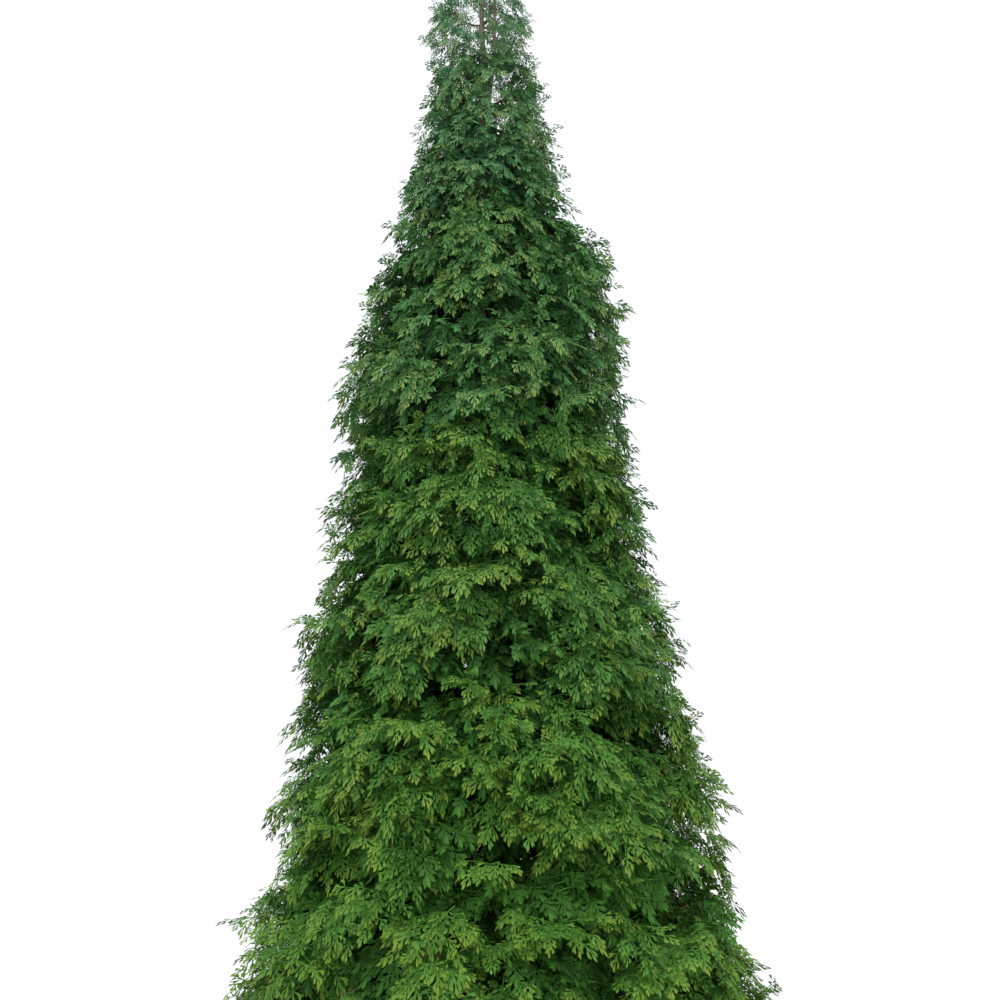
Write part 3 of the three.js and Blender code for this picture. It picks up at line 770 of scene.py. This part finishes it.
def clothe(it, tier, twigs, shoots, sprays, rng):
    """Gives a frond its twig, its branches and their sprays."""
    length = min(SPRAY_LENGTH[0] + SPRAY_LENGTH[1] * it.length, SPRAY_LENGTH_MOST)
    length *= COARSE_SPRAY if it.coarse else SPRAY_SIZE[tier]
    # Painted shade: a frond deeper in the crown gets a darker green.
    frond_tone = TONE - TONE_INWARDS * (1 - it.depth) + rng.normal() * TONE_SPREAD[0]
    outwards = unit((it.root - around(0, 0, it.root[2])) * (1, 1, 0))
    sky = unit(outwards * FACE_OUTWARDS + UP)
    bow = UP * TWIG_BOW * np.linalg.norm(it.root - it.start)
    thick, thin = (radius * it.length for radius in TWIG_RADII)
    twigs.add(curve_between(it.start, it.root, bow, TWIG_POINTS), thick, thin)
    for number, row in enumerate(branches_of(it, length, rng)):
        branch_tone = frond_tone + rng.normal() * TONE_SPREAD[1]
        thick = (AXIS_RADIUS if number == 0 else BRANCH_RADIUS) * it.length
        shoots.add(row - it.face * SHOOT_DROP, thick, SHOOT_TIP_RADIUS)
        for root, ahead, share in sprays_on(row, it.face, SPRAY_SPACING[tier] * length, rng):
            ahead = unit(ahead + outwards * SPRAY_OUTWARDS + rng.normal(size=3) * SPRAY_STRAY)
            tone = branch_tone + TIP_TONE * (share - EVEN_TONE_PLACE)
            # Painted shade: coarse sprays inside the crown take the darkest greens.
            if it.coarse:
                tone = rng.uniform(*COARSE_TONES)
            face = it.face * FACE_OF_FROND + sky
            sprays.append(spray(root, ahead, face, length, tone, it.coarse))
    # Painted shade: the sprays on twigs inside the crown all take the darkest, shaded green.
    for _ in range(0 if it.coarse else TWIG_SPRAYS[tier]):
        root = mix(it.start, it.root, rng.uniform(*TWIG_SPRAY_RANGE))
        ahead = unit(rng.normal(size=3) + outwards * SPRAY_OUTWARDS - UP * TWIG_SPRAY_DIP)
        sprays.append(spray(root, ahead, sky, COARSE_SPRAY * length, COARSE_TONES[0], True))


def grow(mass, boughs, twigs, shoots, sprays):
    """Adds the stem, twigs, shoots and sprays of a mass to those gathered."""
    draw = seeded(mass.seed)
    reach = mix(*REACH_RANGE, draw()) * mass.reach
    stem = stem_of(mass, reach)
    sag = UP * -STEM_SAG * (mass.bough is None)
    thick = mix(*STEM_RADII, mass.tier / (len(SECTORS) - 1))
    boughs.add(curve_between(*stem, sag, STEM_POINTS), thick, thick * STEM_THINNING, LIMB_SIDES)
    rng = np.random.default_rng(mass.seed)
    for it in fronds_of(mass, stem, reach, draw):
        clothe(it, mass.tier, twigs, shoots, sprays, rng)


SPRAY_SHAPES = {coarse: [spray_shape(i, coarse) for i in range(SPRAY_VARIANTS)] for coarse in (False, True)}
KITE = np.array(((0, 2, 1), (0, 3, 2)))  # the two triangles of a leaflet
TINTS = ("shaded", "deep", "green", "fresh")


def leaves_of(sprays, rng):
    """The leaflets of many sprays, by tint. A spray's young tips are one tint fresher than the rest of it."""
    leaves = {tint: [] for tint in TINTS}
    for it in sprays:
        shape, young = SPRAY_SHAPES[it.coarse][rng.integers(SPRAY_VARIANTS)]
        ahead = unit(it.ahead - UP * rng.uniform(*SPRAY_DIP))
        normal = it.face + rng.normal(size=3) * SPRAY_ROLL
        normal = unit(normal - ahead * normal.dot(ahead))
        size = it.length * rng.uniform(*SPRAY_SIZES)
        hand = rng.choice((-1, 1))
        frame_of_spray = np.array((ahead, hand * np.cross(normal, ahead), normal))
        droop = rng.uniform(*SPRAY_DROOP) * shape[:, :, :1] ** 2 * UP
        placed = it.root + size * (shape @ frame_of_spray - droop)
        if placed[:, :, 2].min() < LOWEST_LEAF:
            continue
        if hand < 0:
            placed = placed[:, ::-1]
        tint = int(clamp(round(it.tone + rng.normal() * TONE_SPREAD[2]), 0, len(TINTS) - 2))
        leaves[TINTS[tint]].append(placed[~young])
        leaves[TINTS[tint + 1]].append(placed[young])
    return {tint: np.concatenate(kites) for tint, kites in leaves.items() if kites}


# Finishes


class Value:
    """A socket of a finish's nodes. Sums on it add Math nodes."""

    def __init__(self, finish, socket):
        self.finish = finish
        self.socket = socket

    def sum(self, operation, *values):
        return self.finish.node("ShaderNodeMath", {"operation": operation}, dict(enumerate(values)))

    def __add__(self, other):
        return self.sum("ADD", self, other)

    def __sub__(self, other):
        return self.sum("SUBTRACT", self, other)

    def __rsub__(self, other):
        return self.sum("SUBTRACT", other, self)

    def __mul__(self, other):
        return self.sum("MULTIPLY", self, other)

    __radd__ = __add__
    __rmul__ = __mul__


class Finish:
    """A material, whose nodes all come from one method."""

    def __init__(self, name, **constants):
        self.material = bpy.data.materials.new(name)
        self.material.use_nodes = True
        self.tree = self.material.node_tree
        self.shader = self.tree.nodes["Principled BSDF"]
        self.feed(self.shader, constants)

    def feed(self, node, inputs):
        """Sets or links sockets of a node."""
        for key, value in inputs.items():
            socket = node.inputs[key]
            if isinstance(value, Value):
                self.tree.links.new(value.socket, socket)
            else:
                socket.default_value = value

    def node(self, kind, settings, inputs, output=0):
        """Adds any node: its settings first, then its sockets."""
        made = self.tree.nodes.new(kind)
        for key, value in settings.items():
            if key == "stops":
                ramp = made.color_ramp
                while len(ramp.elements) < len(value):
                    ramp.elements.new(1)
                for stop, (place, colour) in zip(ramp.elements, value):
                    stop.position = place
                    stop.color = colour
            else:
                setattr(made, key, value)
        self.feed(made, inputs)
        return Value(self, made.outputs[output])

    def place(self, stretch=(1, 1, 1)):
        """Object coordinates, stretched."""
        plain = self.node("ShaderNodeTexCoord", {}, {}, "Object")
        if stretch == (1, 1, 1):
            return plain
        return self.node("ShaderNodeMapping", {}, {"Vector": plain, "Scale": stretch})

    def noise(self, scale, detail, stretch=(1, 1, 1), roughness=0.5):
        """Soft patches, so many to a metre."""
        inputs = {"Vector": self.place(stretch), "Scale": scale, "Detail": detail, "Roughness": roughness}
        return self.node("ShaderNodeTexNoise", {}, inputs)

    def blend(self, share, one, other):
        """From one colour to another."""
        inputs = {"Factor": share, 6: one, 7: other}
        return self.node("ShaderNodeMix", {"data_type": "RGBA"}, inputs, 2)

    def ramp(self, value, stops):
        """Colours from a value, by stops."""
        return self.node("ShaderNodeValToRGB", {"stops": stops}, {"Fac": value})

    def bump(self, height, distance, strength=1.0):
        """Relief of a depth."""
        inputs = {"Height": height, "Distance": distance, "Strength": strength}
        return self.node("ShaderNodeBump", {}, inputs)


def rgba(red, green, blue):
    return (red, green, blue, 1)


def leaf_finish(name, dark, light, gloss):
    """Scale leaves: two greens in soft patches, with fine scales that catch the light."""
    leaf = Finish(name)
    patches = leaf.noise(LEAF_PATCHES, 2)
    flecks = leaf.noise(LEAF_FLECKS, 3)
    scales = leaf.node("ShaderNodeTexVoronoi", {}, {"Vector": leaf.place(), "Scale": LEAF_SCALES})
    share = patches * 0.7 + flecks * 0.9 - 0.3
    leaf.feed(leaf.shader, {
        "Base Color": leaf.blend(share, rgba(*dark), rgba(*light)),
        "Roughness": flecks * 0.3 + (gloss - 0.15),
        "Normal": leaf.bump(scales, LEAF_RELIEF, 0.5),
        "Specular IOR Level": 0.15,
    })
    return leaf.material


def bark_finish(name, crevice, ridge, worn, fibre):
    """Fibrous bark in long strips: dark crevices and brown ridges, grey where it is weathered or young."""
    bark = Finish(name)
    strips = bark.noise(BARK_STRIPS * fibre, 6, STRIP_STRETCH, 0.65)
    threads = bark.noise(BARK_THREADS * fibre, 4, THREAD_STRETCH)
    weather = bark.noise(BARK_WEATHER, 3)
    height = bark.node("ShaderNodeSeparateXYZ", {}, {"Vector": bark.place()}, 2)
    youth = height * 0.3 - 1.6  # rises from 0 at 5.3 m above the ground
    ridges = bark.ramp(strips, ((0.36, rgba(*crevice)), (0.55, rgba(*ridge))))
    greyed = bark.ramp(weather, ((0.42, rgba(0, 0, 0)), (0.66, rgba(1, 1, 1))))
    bark.feed(bark.shader, {
        "Base Color": bark.blend(greyed * strips + youth * (1 - threads), ridges, rgba(*worn)),
        "Roughness": threads * 0.2 + 0.74,
        "Normal": bark.bump(strips + threads * 0.4, BARK_RELIEF / fibre),
        "Specular IOR Level": 0.25,
    })
    return bark.material


# The greens, from darkest to palest. Sprays deeper in the crown are dealt the darker ones as painted shade,
# and the fresh one is young growth.
GREENS = {
    "shaded": ((0.034, 0.113, 0.015), (0.053, 0.168, 0.022), 0.7),
    "deep": ((0.052, 0.172, 0.02), (0.077, 0.228, 0.028), 0.6),
    "green": ((0.08, 0.205, 0.025), (0.118, 0.265, 0.036), 0.56),
    "fresh": ((0.137, 0.235, 0.024), (0.188, 0.285, 0.032), 0.52),
}
SKY_GLARE = np.array((1.35, 1.2, 4.2))  # painted sky glare: what the greens are multiplied by where it lightens and blues them most, at the tip


def leaf_finishes(part_name):
    """The four greens of a part of the crown, lightened and blued by painted sky glare, most towards the tip.
    """
    glare = mix(np.ones(3), SKY_GLARE, PARTS_OF_CROWN[part_name][2])
    return {
        tint: leaf_finish(f"leaves_{tint}_{part_name}", dark * glare, light * glare, gloss)
        for tint, (dark, light, gloss) in GREENS.items()
    }


TRUNK_BARK = bark_finish("trunk_bark", (0.035, 0.02, 0.012), (0.17, 0.095, 0.055), (0.34, 0.31, 0.27), 1)
BOUGH_BARK = bark_finish("bough_bark", (0.05, 0.03, 0.02), (0.19, 0.12, 0.075), (0.34, 0.31, 0.27), 3)
TWIG_BARK = bark_finish("twig_bark", (0.06, 0.036, 0.018), (0.17, 0.1, 0.045), (0.15, 0.12, 0.07), 4)


# The trunk and the boughs that show


def start_piece():
    """Nothing is selected when a piece is begun."""
    bpy.ops.object.select_all(action="DESELECT")


def bark_relief(piece, depth, width):
    """Long ridges in the bark, from a pattern stretched along the limb."""
    pattern = bpy.data.textures.new("bark_ridges", "CLOUDS")
    pattern.noise_scale = 1
    pattern.noise_depth = RIDGE_DETAIL
    start_piece()
    bpy.ops.object.empty_add(location=ORIGIN)
    stretch = bpy.context.object
    stretch.scale = (width, width, width * RIDGE_STRETCH)
    bpy.context.view_layer.update()
    bpy.context.view_layer.objects.active = piece
    ridges = piece.modifiers.new("ridges", "DISPLACE")
    ridges.texture = pattern
    ridges.texture_coords = "OBJECT"
    ridges.texture_coords_object = stretch
    ridges.strength = depth
    ridges.mid_level = 0.5
    bpy.ops.object.modifier_apply(modifier=ridges.name)
    bpy.data.objects.remove(stretch)


def lobed_foot(trunk):
    """The roots' lobes round the foot, and a flat cut at the ground."""
    for corner in trunk.data.vertices:
        x, y, z = corner.co
        bearing = math.atan2(y, x - lean_at(z))
        lobe = FLARE_LOBE_DEPTH * math.sin(FLARE_LOBES * bearing) * math.exp(-z / FLARE_HEIGHT)
        corner.co = (lean_at(z) + (x - lean_at(z)) * (1 + lobe), y * (1 + lobe), max(z, 0))


def limb(name, row, radii, sides, turn, finish, relief):
    """A limb made by hand: a disc, drawn out along a row of points and narrowed at each."""
    start_piece()
    bpy.ops.mesh.primitive_circle_add(
        vertices=sides, radius=radii[0], fill_type="NGON", location=row[0], rotation=turn
    )
    made = bpy.context.object
    made.name = name
    bpy.ops.object.mode_set(mode="EDIT")
    for before, here, thick, thin in zip(row, row[1:], radii, radii[1:]):
        bpy.ops.mesh.extrude_region_move(TRANSFORM_OT_translate={"value": tuple(here - before)})
        bpy.ops.transform.resize(value=(thin / thick,) * 3, center_override=tuple(here))
    bpy.ops.mesh.select_all(action="SELECT")
    bpy.ops.mesh.normals_make_consistent(inside=False)
    bpy.ops.object.mode_set(mode="OBJECT")
    bpy.ops.object.transform_apply(location=True, rotation=True, scale=True)
    bark_relief(made, *relief)
    bpy.ops.object.shade_smooth_by_angle(angle=SMOOTH_BELOW)
    made.data.materials.append(finish)
    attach(made, "root")
    return made


def barked_trunk():
    """The trunk, from the flat cut at the ground to its tip."""
    heights = TRUNK_HEIGHT * np.linspace(0, 1, TRUNK_RINGS) ** TRUNK_RINGS_POWER
    row = np.array([around(0, 0, z) for z in heights])
    radii = [float(trunk_radius(z)) for z in heights]
    trunk = limb("trunk_with_bark", row, radii, TRUNK_SIDES, UNTURNED, TRUNK_BARK, TRUNK_RELIEF)
    lobed_foot(trunk)
    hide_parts("trunk")


def barked_bough(bough_name):
    """A bough that shows, from inside the trunk to its tip."""
    bough = BOUGHS[bough_name]
    steps = np.linspace(0, 1, BOUGH_RINGS)
    row = np.array([on_bough(bough, share) for share in steps])
    radii = [mix(*bough["radii"], share) for share in steps]
    along = unit(row[-1] - row[0])
    turn = (0, math.acos(along[2]), math.atan2(along[1], along[0]))
    piece = limb(bough_name + "_with_bark", row, radii, BOUGH_SIDES, turn, BOUGH_BARK, BOUGH_RELIEF)
    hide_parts(bough_name)


barked_trunk()
for bough_name in BOUGHS:
    barked_bough(bough_name)


# The foliage, joined by part of the crown and kind


def joined(name, corners, faces, finish, nodes):
    """One piece from many small things of a kind."""
    mesh = bpy.data.meshes.new(name)
    mesh.from_pydata(corners, [], faces)
    mesh.materials.append(finish)
    mesh.validate()
    made = bpy.data.objects.new(name, mesh)
    bpy.context.collection.objects.link(made)
    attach(made, "root")
    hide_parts(*nodes)


def part_of_crown(part_name):
    """The boughs, twigs, shoots and leaves of a part of the crown."""
    first, last, _ = PARTS_OF_CROWN[part_name]
    masses = [mass for mass in mass_list() if first <= mass.tier <= last]
    nodes = [mass.name for mass in masses]
    greens = leaf_finishes(part_name)
    boughs, twigs, shoots, sprays = Tubes(), Tubes(), Tubes(), []
    for mass in masses:
        grow(mass, boughs, twigs, shoots, sprays)
    joined(f"boughs_{part_name}", boughs.corners, boughs.faces, TWIG_BARK, nodes)
    joined(f"twigs_{part_name}", twigs.corners, twigs.faces, TWIG_BARK, nodes)
    joined(f"shoots_{part_name}", shoots.corners, shoots.faces, greens["deep"], nodes)
    for tint, kites in leaves_of(sprays, np.random.default_rng(first)).items():
        triangles = (KITE + 4 * np.arange(len(kites))[:, None, None]).reshape(-1, 3)
        joined(f"leaves_{tint}_{part_name}", kites.reshape(-1, 3), triangles, greens[tint], nodes)


for part_name in PARTS_OF_CROWN:
    part_of_crown(part_name)


# The floor, the light and the camera

start_piece()
bpy.ops.mesh.primitive_plane_add(size=FLOOR_SIZE, location=ORIGIN)
floor = bpy.context.object
floor.name = "floor"
pale = Finish("pale_floor", **{"Base Color": rgba(*FLOOR_COLOUR), "Roughness": 0.9})
floor.data.materials.append(pale.material)

bpy.context.scene.view_settings.view_transform = "Standard"
world = bpy.data.worlds.new("soft_sky")
world.use_nodes = True
sky = world.node_tree.nodes["Background"]
sky.inputs["Color"].default_value = rgba(*SKY_COLOUR)
sky.inputs["Strength"].default_value = SKY_STRENGTH
bpy.context.scene.world = world

bpy.ops.object.light_add(type="SUN", location=SUN_PLACE, rotation=SUN_TURN)
sun = bpy.context.object
sun.data.energy = SUN_STRENGTH
sun.data.angle = SUN_ANGLE

bpy.ops.object.camera_add(
    location=(0, -VIEW_DISTANCE, EYE_HEIGHT), rotation=(math.pi / 2 + VIEW_PITCH, 0, 0)
)
camera = bpy.context.object
camera.data.lens = LENS
camera.data.sensor_width = SENSOR
camera.data.clip_end = VIEW_END
bpy.context.scene.camera = camera
